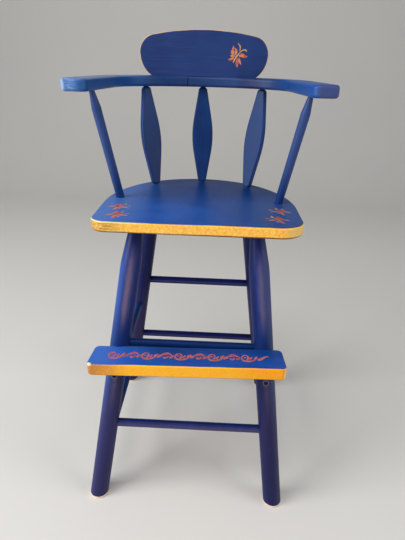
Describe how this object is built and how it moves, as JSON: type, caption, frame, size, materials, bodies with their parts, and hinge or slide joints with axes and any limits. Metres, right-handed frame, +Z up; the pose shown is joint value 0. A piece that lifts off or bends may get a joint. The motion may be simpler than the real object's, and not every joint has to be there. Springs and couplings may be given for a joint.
{
  "type": "painted high chair",
  "caption": "Wooden child's high chair with splayed turned legs, footrest board, D-shaped seat, arrow spindles, bow arm rail and oval crest, painted blue with gilded edges.",
  "frame": {"origin": "on the floor, below the middle of the chair's outline", "axes": "+X to the right as the chair is seen from its front, +Y from the front to the back, +Z up"},
  "size_m": [0.4488, 0.4283, 0.8979],
  "materials": {
    "painted_wood": "satin blue paint",
    "bare_wood": "bare",
    "screw_steel": "dull"
  },
  "bodies": {
    "root": {"seat_plank": "painted_wood", "front_left_leg": "painted_wood", "front_right_leg": "painted_wood", "rear_left_leg": "painted_wood", "rear_right_leg": "painted_wood", "front_upper_stretcher": "painted_wood", "front_lower_stretcher": "painted_wood", "rear_upper_stretcher": "painted_wood", "rear_lower_stretcher": "painted_wood", "left_upper_side_stretcher": "painted_wood", "left_lower_side_stretcher": "painted_wood", "right_upper_side_stretcher": "painted_wood", "right_lower_side_stretcher": "painted_wood", "footrest_board": "painted_wood", "left_spindle": "painted_wood", "centre_spindle": "painted_wood", "right_spindle": "painted_wood", "left_arm_post": "painted_wood", "right_arm_post": "painted_wood", "left_arm_rail": "painted_wood", "right_arm_rail": "painted_wood", "crest_board": "painted_wood", "crest_dowels": "bare_wood", "splice_dowels": "bare_wood", "stretcher_screws": "screw_steel", "footrest_screws": "screw_steel"}
  },
  "joints": []
}
